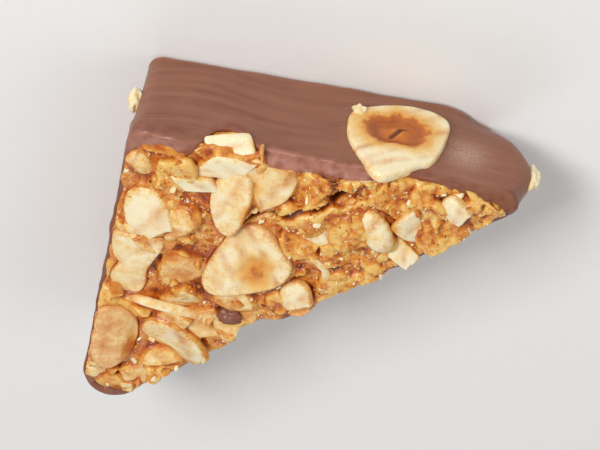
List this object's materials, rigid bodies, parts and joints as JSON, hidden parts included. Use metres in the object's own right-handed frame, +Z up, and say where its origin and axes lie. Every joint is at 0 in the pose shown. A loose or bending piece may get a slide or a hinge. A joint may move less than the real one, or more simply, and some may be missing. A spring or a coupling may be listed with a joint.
{
  "type": "hazelnut biscuit",
  "caption": "Triangular biscuit with milk chocolate over its base and walls, topped with a baked layer of sliced and chopped hazelnuts in caramel.",
  "frame": {"origin": "middle of the biscuit's box, on the surface that it stands on", "axes": "+Z up through the nut layer, -Y out of the front wall, +X out of the side wall, with the right angle between those two walls"},
  "size_m": [0.0548, 0.0508, 0.018],
  "materials": {
    "milk_chocolate": "satin milk chocolate, smooth with fine streaks",
    "baked_nut": "baked caramel with chopped hazelnuts, slightly glazed",
    "pale_nut": "dry, matt cut face of a hazelnut"
  },
  "bodies": {
    "root": {"chocolate_coat": "milk_chocolate", "nut_layer": "baked_nut", "hazelnut_slice_front": "pale_nut", "hazelnut_slice_middle": "pale_nut", "hazelnut_slice_upright": "pale_nut", "hazelnut_slice_side": "pale_nut", "hazelnut_slice_back": "pale_nut"}
  },
  "joints": []
}
